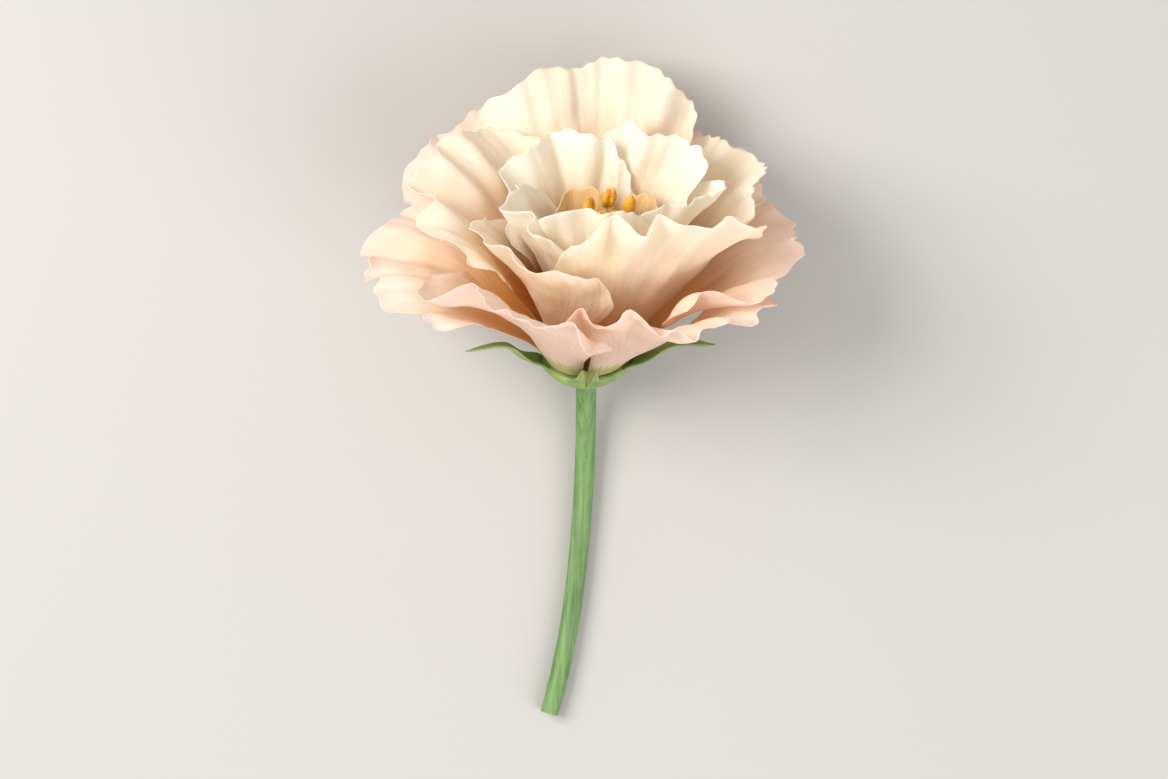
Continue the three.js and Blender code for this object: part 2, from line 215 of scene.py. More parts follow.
# ---- Pistil and stamens ----
PISTIL_PROFILE = [  # radius and height of the ovary and of the style on it
    (0, 0.35), (1.1, 0.4), (1.5, 0.9), (1.85, 2.6), (1.9, 4.5), (1.8, 7.6), (1.5, 10.4), (1.1, 13.0),
    (0.72, 15.2), (0.55, 17.5), (0.48, 24.0), (0.5, 27.2), (0.75, 28.1), (0.45, 28.6), (0, 28.7),
]
OVARY_SEAM = 0.12  # depth of the two seams down the ovary
SEAM_SHARPNESS = 12  # a higher one is narrower
SEAM_ENDS = (0.3, 0.42)  # shares of the profile's length between which a seam fades
STIGMA_LOBE = (1.1, 0.85, 0.7)  # half sizes
STIGMA_HEIGHT = 28.5
STIGMA_LOBE_OUT = 0.8
STIGMA_LOBE_RISE = 0.22  # how far a lobe rises outward, per mm
STIGMA_CREASE = 0.12  # depth of the creases across a lobe, as a share of its half width
STIGMA_CREASE_PACE = 5  # how close they come, in radians per mm
STAMENS = 5
STAMEN_TIPPING = 0.1  # how far at most an anther leans aside, per mm of height
STAMEN_START = 20 * DEG
FILAMENT_RADII = (0.42, 0.22)  # at its base and under the anther
FILAMENT_BASE_AT = 2.7
FILAMENT_TOP_AT = 3.2
FILAMENT_HEIGHT = 29.5
FILAMENT_BOW = 0.35  # how far it bows outward halfway up
FILAMENT_CLOSING = 12  # its ends close within one part in this many of its length
ANTHER = (0.95, 1.1, 2.1)  # half sizes: thick, wide, long
ANTHER_GROOVE = 0.42  # depth of the groove between its two lobes, as a share of its thickness
ANTHER_GROOVE_WIDTH = 0.28  # as a share of its half width
ANTHER_NOTCH = 0.16  # depth of the notch at each end, as a share of its half length
ANTHER_NOTCH_WIDTH = 0.3
ANTHER_BEND = 0.07  # how far its ends bend outward, per mm squared

# ---- Meshes ----
MERGED_WITHIN = 1e-6  # metres: points of a piece that lie this near are one
WEIGHT_LEVELS = 20  # that the weights of a vertex group are rounded to

# ---- Floor, light and camera, in metres ----
FLOOR_SIZE = 3
LIGHTS_AIM = (0, 0.03, 0.02)  # the bloom
KEY_LIGHT = {"at": (-0.38, 0.14, 0.46), "size": 0.35, "energy": 3.8, "colour": (1.0, 0.97, 0.93)}
FILL_LIGHT = {"at": (0.38, -0.38, 0.40), "size": 0.5, "energy": 2.9, "colour": (0.97, 0.98, 1.0)}
ROUND_LIGHT = 0.68  # strength of the even light from all round
ROUND_LIGHT_COLOUR = (1.0, 0.985, 0.965, 1)
CAMERA_HEIGHT = 0.70
LENS = 135  # focal length and sensor width in mm
SENSOR = 36


# ======== Working out the shells ========
def smooth(value, low, high):
    """0 below low, 1 above high, and a smooth step between them."""
    share = np.clip((value - low) / (high - low), 0, 1)
    return share * share * (3 - 2 * share)


def cubic(before, start, end, after, share):
    """A smooth curve through four values in a row, a share of the way from the second to the third."""
    slope_start = (end - before) / 2
    slope_end = (after - start) / 2
    rise = end - start
    bend = 3 * rise - 2 * slope_start - slope_end
    return start + share * (slope_start + share * (bend + share * (slope_start + slope_end - 2 * rise)))


def between(values, place):
    """The value at a place between the entries 0, 1, 2 and 3, run straight on past the ends."""
    last = len(values) - 1
    values = [2 * values[0] - values[1], *values, 2 * values[-1] - values[-2]]
    found = values[1] + (values[2] - values[1]) * place
    for i in range(last):
        found = np.where(place > i, cubic(*values[i : i + 4], place - i), found)
    beyond = values[-2] + (values[-2] - values[-3]) * (place - last)
    return np.where(place >= last, beyond, found)


def around(values, azimuth):
    """The value at an azimuth of a list that goes once round, closing on itself."""
    place = azimuth / TURN % 1 * len(values)
    i = np.floor(place).astype(int)
    entries = [np.take(values, i + k, mode="wrap") for k in (-1, 0, 1, 2)]
    return cubic(*entries, place - i)


def shell_point(run, azimuth, whorl):
    """Radius and height of the point run mm up a petal, in a whorl's shell or between two."""
    low = between(LEAN_AT_BASE, whorl) * DEG
    high = between([around(row, azimuth) for row in LEAN_AT_RIM], whorl) * DEG
    build_up = between(LEAN_BUILD_UP, whorl)
    step = run / SHELL_STEPS
    radius = between(RING_RADIUS, whorl) + 0 * step
    height = BASE_LIFT + 0 * step
    for i in range(SHELL_STEPS):
        share = np.maximum(0, step * (i + 0.5) / RIM_REACH)
        lean = low + (high - low) * share**build_up
        radius = radius + np.sin(lean) * step
        height = height + np.cos(lean) * step
    return radius, height


def into_pose(points):
    """Points of the bloom's frame, in mm, laid down in the flower's own frame."""
    return points @ INTO_POSE.T + RECEPTACLE_AT


def on_shell(run, azimuth, whorl):
    """The same point as shell_point gives, laid down with the bloom."""
    radius, height = shell_point(run, azimuth, whorl)
    x = radius * np.cos(azimuth) + SIDE_LEAN * height
    y = radius * np.sin(azimuth) - FRONT_LEAN * height
    return into_pose(np.stack([x, y, height], -1))


# ======== One petal's middle surface ========
def wavy(distance, lengths, shares, draw):
    """Waves of several lengths, each with a start of its own and a slow drift, added up."""
    total = 0 * distance
    for length, share in zip(lengths, shares):
        start, drift = draw.uniform(0, TURN), draw.uniform(0, TURN)
        bent = distance + WAVE_DRIFT * length * np.sin(distance / length * WAVE_DRIFT_PACE + drift)
        total = total + share * np.sin(TURN * bent / length + start)
    return total


def crumpled(aside, run, draw):
    """Soft irregular crumples: waves that run across a blade every way, added up."""
    total = 0 * run
    for length in CRUMPLE_LENGTHS:
        for _ in range(CRUMPLES_EACH):
            heading, start = draw.uniform(-CRUMPLE_HEADING, CRUMPLE_HEADING), draw.uniform(0, TURN)
            distance = aside * math.cos(heading) + run * math.sin(heading)
            bow = CRUMPLE_BOW * np.sin(run / length + start)
            total = total + np.sin(TURN * distance / length + start + bow)
    return total / (CRUMPLES_EACH * len(CRUMPLE_LENGTHS))


def petal_points(whorl, k, along, across):
    """Points of a petal: along from 0 at the base to 1 at the rim, across from -1 to 1."""
    kind = WHORLS[whorl]
    rows = kind["petals"]
    azimuth, length, half, corner = rows[k]
    to_next = (rows[(k + 1) % len(rows)][0] - azimuth) % 360
    to_last = (azimuth - rows[k - 1][0]) % 360
    draw = np.random.default_rng(SEED + SEED_STEP * whorl + k)

    full_angle = half / shell_point(length * WIDEST_AT, np.float64(azimuth * DEG), whorl)[0]
    claw_angle = CLAW_SHARE * np.where(across > 0, to_next, to_last) * DEG
    widening = smooth(along, CLAW_UP_TO, WIDEST_AT)
    narrowing = 1 - TOP_NARROWING * smooth(along, WIDEST_AT, 1)
    half_angle = (claw_angle * (1 - widening) + full_angle * widening) * narrowing
    here = azimuth * DEG + half_angle * across

    rim_distance = across * half
    frill = wavy(rim_distance, FRILL_LENGTHS, FRILL_SHARES, draw)
    pleat = wavy(rim_distance, (PLEAT_LENGTH,), (1,), draw)

    corner_drop = corner * np.abs(across) ** CORNER_ACROSS_POWER * along**CORNER_ALONG_POWER
    run = length * along * (1 - corner_drop)
    scallop = wavy(rim_distance, SCALLOP_LENGTHS, SCALLOP_SHARES, draw)
    run = run + TOOTH_HEIGHT * smooth(along, TOOTHED_FROM, 1) * (pleat + FRILL_IN_TEETH * frill)
    run = run + SCALLOP_HEIGHT * half / SCALLOPED_WHOLLY_AT * smooth(along, SCALLOPED_FROM, 1) * scallop

    tilt = OVERLAP_TILT * across * smooth(along, 0, TILTED_FROM)
    (long_count, short_count), wave_start = kind["waves"], kind["start"]
    bunched = here + WAVE_BUNCHING * np.sin(WAVE_BUNCHES * here + wave_start)
    slant = WAVE_SLANT * along + FOLD_BEND * np.sin(FOLD_BENDS_UP * along + FOLD_BENDS_ROUND * here)
    long_wave = np.sin(long_count * (bunched + slant) + wave_start)
    short_wave = np.sin(short_count * (bunched - slant) - wave_start)
    waved_from = WAVED_FROM + WAVED_FROM_SPREAD * np.sin(WAVED_FROM_SWINGS * here + wave_start)
    swing = (long_wave + SHORT_WAVE * short_wave) / (1 + SHORT_WAVE)
    fading = 0.5 + 0.5 * np.sin(FOLD_FADES_ROUND * here + FOLD_FADES_UP * along + 2 * wave_start)
    swing = swing * (1 - FOLD_FADING * fading)
    ruffle = kind["wave"] * smooth(along, waved_from, 1) * swing
    frilled = kind["frill"] * smooth(along, FRILLED_FROM, 1) * frill
    lip = LIP * smooth(along, LIP_FROM, 1)
    points = on_shell(run, here, whorl + tilt + ruffle + lip + frilled)
    points[..., 2] = np.maximum(points[..., 2], GROUND_CLEARANCE)

    up = np.gradient(points, axis=0)
    side = np.gradient(points, axis=1)
    normal = np.cross(side, up)
    normal = normal / np.linalg.norm(normal, axis=-1, keepdims=True)
    pleats = PLEAT_HEIGHT * pleat * smooth(along, PLEATED_FROM, 1)
    crumples = CRUMPLE_HEIGHT * crumpled(rim_distance, run, draw)
    crumples = crumples * smooth(along, CRUMPLED_FROM, CRUMPLED_WHOLLY_FROM)
    relief = (pleats + crumples) * smooth(points[..., 2], *OFF_FLOOR)
    return points + normal * relief[..., None]


# ======== Points of the heart, the calyx and the stalk ========
def in_heart(points):
    """Points of the upright heart, in mm, leant with the bloom's shells and laid down."""
    x, y, z = np.moveaxis(points, -1, 0)
    return into_pose(np.stack([x + SIDE_LEAN * z, y - FRONT_LEAN * z, z], -1))


def profile_points(profile, along, angle, swell=0.0):
    """Points of a profile of radius and height turned about the bloom's axis."""
    radii, heights = np.array(profile, float).T
    steps = np.hypot(np.diff(radii), np.diff(heights))
    marks = np.concatenate([[0], np.cumsum(steps)]) / steps.sum()
    radius = np.interp(along, marks, radii) * (1 + swell)
    height = np.interp(along, marks, heights)
    return np.stack([radius * np.cos(angle), radius * np.sin(angle), height], -1)


def cup_points(along, across):
    """Points of the cup: a rib runs down it from each sepal."""
    angle = across * math.pi
    rib = np.cos((angle - SEPAL_AZIMUTHS[0] * DEG) * len(SEPAL_AZIMUTHS) / 2) ** RIB_SHARPNESS
    ribbed = smooth(along, *RIB_RISES) * (1 - smooth(along, *RIB_SINKS))
    return into_pose(profile_points(CUP_PROFILE, along, angle, RIB_HEIGHT / RIB_AT_RADIUS * rib * ribbed))


def pistil_points(along, across):
    """Points of the ovary, with a seam down each side, and of the style on it."""
    angle = across * math.pi
    seam = np.abs(np.cos(angle)) ** SEAM_SHARPNESS * (1 - smooth(along, *SEAM_ENDS))
    return in_heart(profile_points(PISTIL_PROFILE, along, angle, -OVARY_SEAM * seam))


def sepal_points(k, along, across):
    """Points of a sepal: keeled along its back, hugging the petals, with its tip curled out again."""
    draw = np.random.default_rng(SEPAL_SEED + k)
    sweep = SEPAL_SWEEP * draw.uniform(-1, 1)
    azimuth = SEPAL_AZIMUTHS[k] * DEG + sweep * along**2
    run = SEPAL_ROOT + (SEPAL_TIP - SEPAL_ROOT) * along
    nearer = SEPAL_HUG * smooth(along, SEPAL_HUG_FROM, SEPAL_HUG_TO)
    out_again = SEPAL_CURL * draw.uniform(*SEPAL_CURL_SPREAD) * smooth(along, SEPAL_HUG_TO, 1)
    shell = SEPAL_SHELL - nearer + out_again
    half_width = SEPAL_HALF_WIDTH * (1 - SEPAL_TAPER * along**SEPAL_TAPER_POWER)
    half_angle = half_width / shell_point(run, azimuth, shell)[0]
    points = on_shell(run, azimuth + half_angle * across, shell)
    outside = on_shell(run, azimuth + half_angle * across, shell + OUTSIDE_BY) - points
    outside = outside / np.linalg.norm(outside, axis=-1, keepdims=True)
    keel = KEEL_HEIGHT * (1 - np.abs(across)) ** KEEL_SHARPNESS * (1 - KEEL_FADING * along)
    points = points + outside * keel[..., None]
    points[..., 2] = np.maximum(points[..., 2], GROUND_CLEARANCE)
    return points


# ======== Making meshes ========
def start_clean():
    """Takes everything out of the selection, so that an operator acts on the new piece alone."""
    bpy.ops.object.select_all(action="DESELECT")


def grid_piece(name, cells_across, cells_along, points_at):
    """A sheet of the given cells, with its UV map, whose points stand at points_at(along, across) in mm."""
    start_clean()
    bpy.ops.mesh.primitive_grid_add(
        x_subdivisions=cells_across, y_subdivisions=cells_along, size=2, calc_uvs=True
    )
    piece = bpy.context.object
    piece.name = name
    piece.data.name = name
    columns, rows = cells_across + 1, cells_along + 1
    along, across = np.meshgrid(np.linspace(0, 1, rows), np.linspace(-1, 1, columns), indexing="ij")
    flat = np.zeros(rows * columns * 3)
    piece.data.vertices.foreach_get("co", flat)
    flat = flat.reshape(-1, 3)
    row = np.rint((flat[:, 1] + 1) / 2 * cells_along).astype(int)
    column = np.rint((flat[:, 0] + 1) / 2 * cells_across).astype(int)
    placed = points_at(along, across)[row, column] * MM
    piece.data.vertices.foreach_set("co", placed.ravel())
    piece.data.update()
    return piece


def weigh(piece, group_name, weights):
    """Gives a piece a vertex group with one weight for each of its points."""
    group = piece.vertex_groups.new(name=group_name)
    levels = np.round(weights * WEIGHT_LEVELS) / WEIGHT_LEVELS
    for level in np.unique(levels):
        group.add(np.nonzero(levels == level)[0].tolist(), float(level), "REPLACE")


def thicken(piece, thickness, rim_share):
    """Gives a sheet its thickness, half to each side, thinner towards its rim."""
    uv = np.zeros(len(piece.data.loops) * 2)
    piece.data.uv_layers[0].data.foreach_get("uv", uv)
    loop_points = np.zeros(len(piece.data.loops), int)
    piece.data.loops.foreach_get("vertex_index", loop_points)
    place = np.zeros((len(piece.data.vertices), 2))
    place[loop_points] = uv.reshape(-1, 2)
    from_edge = np.minimum(1 - place[:, 1], np.minimum(place[:, 0], 1 - place[:, 0]) * 2)
    weigh(piece, "body", rim_share + (1 - rim_share) * smooth(from_edge, 0, RIM_WIDTH))
    solid = piece.modifiers.new("thickness", "SOLIDIFY")
    solid.thickness = thickness * MM
    solid.offset = 0
    solid.vertex_group = "body"
    solid.use_even_offset = False
    sheet_points = len(piece.data.vertices)
    apply_modifiers(piece)
    inner_side = piece.data.attributes.new("inner_side", "FLOAT", "POINT")
    inner_side.data.foreach_set("value", np.arange(len(piece.data.vertices)) >= sheet_points)


def apply_modifiers(piece):
    """Applies every modifier of a piece, in order."""
    start_clean()
    piece.select_set(True)
    bpy.context.view_layer.objects.active = piece
    for modifier in list(piece.modifiers):
        bpy.ops.object.modifier_apply(modifier=modifier.name)


def outward(piece):
    """Merges doubled points and turns every face outward."""
    start_clean()
    piece.select_set(True)
    bpy.context.view_layer.objects.active = piece
    bpy.ops.object.mode_set(mode="EDIT")
    bpy.ops.mesh.select_all(action="SELECT")
    bpy.ops.mesh.remove_doubles(threshold=MERGED_WITHIN)
    bpy.ops.mesh.normals_make_consistent(inside=False)
    bpy.ops.object.mode_set(mode="OBJECT")
    bpy.ops.object.shade_smooth()


def ball_piece(name, segments, rings, points_at):
    """A closed ball whose points, at radius 1, are moved to points_at(points) in mm."""
    start_clean()
    bpy.ops.mesh.primitive_uv_sphere_add(segments=segments, ring_count=rings, radius=1, calc_uvs=True)
    piece = bpy.context.object
    piece.name = name
    piece.data.name = name
    move_points(piece, points_at)
    return piece


def move_points(piece, points_at):
    """Moves all of a piece's points, in mm, to points_at(points), and turns its faces outward."""
    flat = np.zeros(len(piece.data.vertices) * 3)
    piece.data.vertices.foreach_get("co", flat)
    piece.data.vertices.foreach_set("co", (points_at(flat.reshape(-1, 3)) * MM).ravel())
    outward(piece)


def copy_piece(piece, name, points_at):
    """A copy with a mesh of its own, its points moved as in move_points; the first one's are in metres."""
    copied = bpy.data.objects.new(name, piece.data.copy())
    copied.data.name = name
    bpy.context.scene.collection.objects.link(copied)
    move_points(copied, lambda points: points_at(points / MM))
    return copied


def finish_piece(piece, slot, material, *nodes):
    """Gives a piece its material, hangs it under the root body and hides the model's parts that it replaces.
    """
    piece.data.materials.clear()
    piece.data.materials.append(material)
    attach(piece, "root")
    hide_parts(*nodes)


# ======== Materials: small helpers ========
def tone(red, green, blue):
    """A colour as it is seen, 0 to 255 each, as the linear colour that shaders use."""
    def linear(level):
        share = level / 255
        return share / 12.92 if share <= 0.04045 else ((share + 0.055) / 1.055) ** 2.4
    return (linear(red), linear(green), linear(blue), 1.0)


class Tree:
    """A node tree that nodes are added to by short calls. An input is a number, a colour or a socket."""

    def __init__(self, tree):
        self.tree = tree

    def node(self, kind, settings=None, **inputs):
        made = self.tree.nodes.new(kind)
        for key, value in (settings or {}).items():
            setattr(made, key, value)
        for key, value in inputs.items():
            self.put(made.inputs[key.replace("_", " ")], value)
        return made

    def put(self, socket, value):
        if isinstance(value, bpy.types.NodeSocket):
            self.tree.links.new(value, socket)
        else:
            socket.default_value = value

    def math(self, operation, first, second=0.0):
        made = self.tree.nodes.new("ShaderNodeMath")
        made.operation = operation
        self.put(made.inputs[0], first)
        self.put(made.inputs[1], second)
        return made.outputs[0]

    def ramp(self, value, low, high, start=0.0, end=1.0):
        """A smooth step from start to end as value goes from low to high."""
        made = self.tree.nodes.new("ShaderNodeMapRange")
        made.interpolation_type = "SMOOTHSTEP"
        for i, number in enumerate((value, low, high, start, end)):
            self.put(made.inputs[i], number)
        return made.outputs[0]

    def mix(self, share, first, second, blend="MIX"):
        made = self.tree.nodes.new("ShaderNodeMix")
        made.data_type = "RGBA"
        made.blend_type = blend
        self.put(made.inputs["Factor"], share)
        self.put(made.inputs[6], first)
        self.put(made.inputs[7], second)
        return made.outputs[2]

    def noise(self, vector, scale, detail=2.0, roughness=0.5):
        """A noise of a scale given in patches per metre where the vector is a place."""
        made = self.node("ShaderNodeTexNoise", Vector=vector, Scale=scale, Detail=detail, Roughness=roughness)
        return made.outputs["Fac"]


def new_group(name, inputs, outputs):
    """An empty shader node group with named inputs and outputs; gives the group, its inside and both ends."""
    group = bpy.data.node_groups.new(name, "ShaderNodeTree")
    for socket_name, kind in inputs.items():
        group.interface.new_socket(name=socket_name, in_out="INPUT", socket_type=kind)
    for socket_name, kind in outputs.items():
        group.interface.new_socket(name=socket_name, in_out="OUTPUT", socket_type=kind)
    inside = Tree(group)
    start = group.nodes.new("NodeGroupInput").outputs
    end = group.nodes.new("NodeGroupOutput").inputs
    return group, inside, start, end


def use_group(tree, group, **inputs):
    return tree.node("ShaderNodeGroup", {"node_tree": group}, **inputs).outputs


FLOAT, COLOR, VECTOR = "NodeSocketFloat", "NodeSocketColor", "NodeSocketVector"


# ======== Effects that several materials share ========
def petal_veins_group():
    """Fine veins that fan out along a blade, from its UV map: a height and a mask of the vein lines."""
    group, tree, start, end = new_group(
        "petal_veins", {"UV": VECTOR, "Place": VECTOR, "Veins": FLOAT}, {"Lines": FLOAT, "Height": FLOAT}
    )
    parts = tree.node("ShaderNodeSeparateXYZ", Vector=start["UV"]).outputs
    wander = tree.math("MULTIPLY", tree.noise(start["Place"], 260.0, 3.0), 0.9)
    angle = tree.math("ADD", tree.math("MULTIPLY", parts["X"], start["Veins"]), wander)
    sine = tree.math("SINE", tree.math("MULTIPLY", angle, math.pi))
    lines = tree.math("POWER", tree.math("ABSOLUTE", sine), 9.0)
    fading = tree.ramp(parts["Y"], 0.55, 1.0, 1.0, 0.35)
    tree.put(end["Lines"], tree.math("MULTIPLY", lines, fading))
    grain = tree.noise(start["Place"], 2200.0, 3.0)
    crinkle = tree.noise(start["Place"], 520.0, 4.0, 0.55)
    height = tree.math("ADD", tree.math("MULTIPLY", lines, 0.6), tree.math("MULTIPLY", grain, 0.5))
    tree.put(end["Height"], tree.math("ADD", height, tree.math("MULTIPLY", crinkle, 2.2)))
    return group


def petal_colour_group(veins):
    """A petal's colour: painted amber shade low on its inner face, a blush on its outer face and at its rim,
    fine veins.
    """
    group, tree, start, end = new_group(
        "petal_colour",
        {
            "UV": VECTOR, "Place": VECTOR, "Inside": FLOAT, "Veins": FLOAT,
            "Throat": COLOR, "Throat Reach": FLOAT, "Amber": COLOR, "Amber Reach": FLOAT,
            "Blade": COLOR, "Back": COLOR, "Rim": COLOR,
        },
        {"Color": COLOR, "Height": FLOAT},
    )
    parts = tree.node("ShaderNodeSeparateXYZ", Vector=start["UV"]).outputs
    cloud = tree.noise(start["Place"], 130.0, 3.0)
    across = tree.math("MULTIPLY", parts["X"], 22.0)
    streak_place = tree.node("ShaderNodeCombineXYZ", X=across, Y=parts["Y"], Z=0.0)
    streak = tree.noise(streak_place.outputs[0], 1.6, 3.0)
    shifted = tree.math("ADD", parts["Y"], tree.math("MULTIPLY", tree.math("SUBTRACT", streak, 0.5), 0.24))

    body = tree.mix(start["Inside"], start["Back"], start["Blade"])
    # Painted shade: amber low on the inner face stands in for the warm shade in the hollows deep in the
    # bloom; a tenth of it shows on the outer face
    amber_shade_start = tree.math("MULTIPLY", start["Amber Reach"], 0.3)
    amber_shade = tree.ramp(shifted, amber_shade_start, start["Amber Reach"], 1.0, 0.0)
    amber_shade = tree.math("MULTIPLY", amber_shade, tree.ramp(start["Inside"], 0.0, 1.0, 0.1, 1.0))
    body = tree.mix(amber_shade, body, start["Amber"])
    # The throat is the petal's greenish base; in the heart petals it is painted dark amber shade instead
    throat_start = tree.math("MULTIPLY", start["Throat Reach"], 0.4)
    body = tree.mix(tree.ramp(shifted, throat_start, start["Throat Reach"], 1.0, 0.0), body, start["Throat"])

    from_side = tree.math("MINIMUM", parts["X"], tree.math("SUBTRACT", 1.0, parts["X"]))
    side = tree.math("MULTIPLY", tree.ramp(from_side, 0.0, 0.1, 1.0, 0.0), tree.ramp(parts["Y"], 0.45, 0.8))
    tip = tree.ramp(shifted, 0.74, 1.02)
    body = tree.mix(tree.math("MULTIPLY", tree.math("MAXIMUM", tip, side), 0.85), body, start["Rim"])

    vein = use_group(tree, veins, UV=start["UV"], Place=start["Place"], Veins=start["Veins"])
    body = tree.mix(tree.math("MULTIPLY", vein["Lines"], 0.10), body, (0.80, 0.62, 0.42, 1), "MULTIPLY")
    body = tree.mix(tree.ramp(cloud, 0.3, 0.7, 0.0, 0.16), body, (0.97, 0.92, 0.84, 1), "MULTIPLY")
    tree.put(end["Color"], body)
    tree.put(end["Height"], vein["Height"])
    return group


VEIN_GROUP = petal_veins_group()
PETAL_GROUP = petal_colour_group(VEIN_GROUP)


def new_material(name):
    """An empty material with its output; gives the material, its tree and the output's surface socket."""
    material = bpy.data.materials.new(name)
    material.use_nodes = True
    material.node_tree.nodes.clear()
    tree = Tree(material.node_tree)
    surface = material.node_tree.nodes.new("ShaderNodeOutputMaterial").inputs["Surface"]
    return material, tree, surface


def petal_material(name, throat, amber_shade, blade, back, rim, throat_reach, amber_shade_reach, veins):
    """Soft, slightly see-through petal skin."""
    material, tree, surface = new_material(name)
    uv = tree.node("ShaderNodeUVMap", {"uv_map": "UVMap"}).outputs[0]
    place = tree.node("ShaderNodeTexCoord").outputs["Object"]
    inside = tree.node("ShaderNodeAttribute", {"attribute_name": "inner_side"}).outputs["Fac"]
    look = use_group(
        tree, PETAL_GROUP, UV=uv, Place=place, Inside=inside, Throat=throat, Amber=amber_shade, Blade=blade,
        Back=back, Rim=rim, Throat_Reach=throat_reach, Amber_Reach=amber_shade_reach, Veins=veins,
    )
    bump = tree.node("ShaderNodeBump", Strength=0.4, Distance=0.0001, Height=look["Height"]).outputs[0]
    skin = tree.node("ShaderNodeBsdfPrincipled", Base_Color=look["Color"], Normal=bump)
    skin.inputs["Roughness"].default_value = 0.58
    skin.inputs["Specular IOR Level"].default_value = 0.35
    skin.inputs["Sheen Weight"].default_value = 0.12
    skin.inputs["Sheen Roughness"].default_value = 0.45
    light_through = tree.node("ShaderNodeBsdfTranslucent", Color=look["Color"], Normal=bump)
    mixed = tree.node("ShaderNodeMixShader")
    mixed.inputs[0].default_value = 0.44
    tree.put(mixed.inputs[1], skin.outputs[0])
    tree.put(mixed.inputs[2], light_through.outputs[0])
    tree.put(surface, mixed.outputs[0])
    return material


THROAT = tone(190, 170, 88)
# Painted warm shade for the hollows low on the petals' inner faces
AMBER_SHADE = tone(232, 172, 98)
PETAL_LOOKS = {
    # The heart's throat, amber and rim colours are painted shade: the dark amber shade deep in the heart
    # around the anthers
    "heart_petal": dict(
        throat=tone(180, 112, 36), amber_shade=tone(212, 138, 54),
        blade=tone(255, 248, 228), back=tone(255, 248, 232),
        rim=tone(252, 226, 174), throat_reach=0.6, amber_shade_reach=1.5, veins=12.0,
    ),
    "inner_petal": dict(
        throat=THROAT, amber_shade=tone(228, 162, 84), blade=tone(255, 249, 234), back=tone(255, 247, 230),
        rim=tone(255, 252, 244), throat_reach=0.3, amber_shade_reach=0.88, veins=18.0,
    ),
    "middle_petal": dict(
        throat=THROAT, amber_shade=AMBER_SHADE, blade=tone(255, 247, 231), back=tone(255, 246, 226),
        rim=tone(255, 246, 233), throat_reach=0.2, amber_shade_reach=0.92, veins=24.0,
    ),
    "outer_petal": dict(
        throat=tone(206, 200, 122), amber_shade=AMBER_SHADE, blade=tone(254, 243, 228), back=tone(253, 236, 223),
        rim=tone(253, 233, 223), throat_reach=0.15, amber_shade_reach=0.95, veins=26.0,
    ),
}


def build_petals():
    """Every petal of the four whorls, each a thickened sheet."""
    for whorl, kind in enumerate(WHORLS):
        material = petal_material(kind["slot"] + "_skin", **PETAL_LOOKS[kind["name"]])
        for k in range(len(kind["petals"])):
            node = f"{kind['name']}_{k + 1}"
            piece = grid_piece(
                f"{node}_blade", *kind["grid"], lambda along, across: petal_points(whorl, k, along, across)
            )
            thicken(piece, BLADE_THICKNESS, RIM_THINNESS)
            outward(piece)
            finish_piece(piece, kind["slot"], material, node)


def green_group():
    """Green skin with streaks that follow its length, paler flecks and a thin waxy bloom."""
    group, tree, start, end = new_group(
        "waxy_green",
        {
            "Streak Place": VECTOR, "Place": VECTOR,
            "Deep": COLOR, "Fresh": COLOR, "Wax": COLOR, "Wax Share": FLOAT,
        },
        {"Color": COLOR, "Height": FLOAT, "Roughness": FLOAT},
    )
    streak = tree.noise(start["Streak Place"], 1.0, 4.0, 0.6)
    patch = tree.noise(start["Place"], 170.0, 3.0)
    fleck = tree.noise(start["Place"], 2600.0, 2.0)
    body = tree.mix(tree.ramp(streak, 0.32, 0.68), start["Deep"], start["Fresh"])
    waxy = tree.math("MULTIPLY", tree.ramp(patch, 0.35, 0.7, 0.3, 1.0), start["Wax Share"])
    body = tree.mix(waxy, body, start["Wax"])
    body = tree.mix(tree.ramp(fleck, 0.62, 0.75, 0.0, 0.25), body, start["Wax"])
    tree.put(end["Color"], body)
    tree.put(end["Height"], tree.math("ADD", streak, tree.math("MULTIPLY", fleck, 0.25)))
    tree.put(end["Roughness"], tree.ramp(patch, 0.3, 0.7, 0.42, 0.6))
    return group


GREEN_GROUP = green_group()


def green_material(name, deep, fresh, wax, wax_share, streaks=None):
    """Waxy green skin. Its streaks follow the UV map, or are stretched along Y where none are given."""
    material, tree, surface = new_material(name)
    place = tree.node("ShaderNodeTexCoord").outputs["Object"]
    if streaks:
        uv = tree.node("ShaderNodeUVMap", {"uv_map": "UVMap"}).outputs[0]
        run = tree.node("ShaderNodeVectorMath", {"operation": "MULTIPLY"})
        tree.put(run.inputs[0], uv)
        run.inputs[1].default_value = streaks
    else:
        run = tree.node("ShaderNodeVectorMath", {"operation": "MULTIPLY"})
        tree.put(run.inputs[0], place)
        run.inputs[1].default_value = (1500, 60, 1500)
    look = use_group(
        tree, GREEN_GROUP, Streak_Place=run.outputs[0], Place=place, Deep=deep, Fresh=fresh, Wax=wax,
        Wax_Share=wax_share,
    )
    return material, tree, surface, look


def plain_skin(tree, surface, look, colour, bump_distance, through=0.0):
    """A skin of one shader for a look with a Color, a Height and a Roughness."""
    bump = tree.node("ShaderNodeBump", Strength=0.5, Distance=bump_distance, Height=look["Height"]).outputs[0]
    skin = tree.node("ShaderNodeBsdfPrincipled", Base_Color=colour, Roughness=look["Roughness"], Normal=bump)
    skin.inputs["Subsurface Weight"].default_value = through
    skin.inputs["Subsurface Radius"].default_value = (0.0008, 0.0012, 0.0004)
    tree.put(surface, skin.outputs[0])


def calyx_material():
    """The fresh green skin of the cup and the sepals."""
    material, tree, surface, look = green_material(
        "calyx_skin", tone(92, 122, 50), tone(138, 162, 80), tone(176, 194, 138), 0.26, (14, 2.5, 1)
    )
    plain_skin(tree, surface, look, look["Color"], 0.0001, 0.15)
    return material


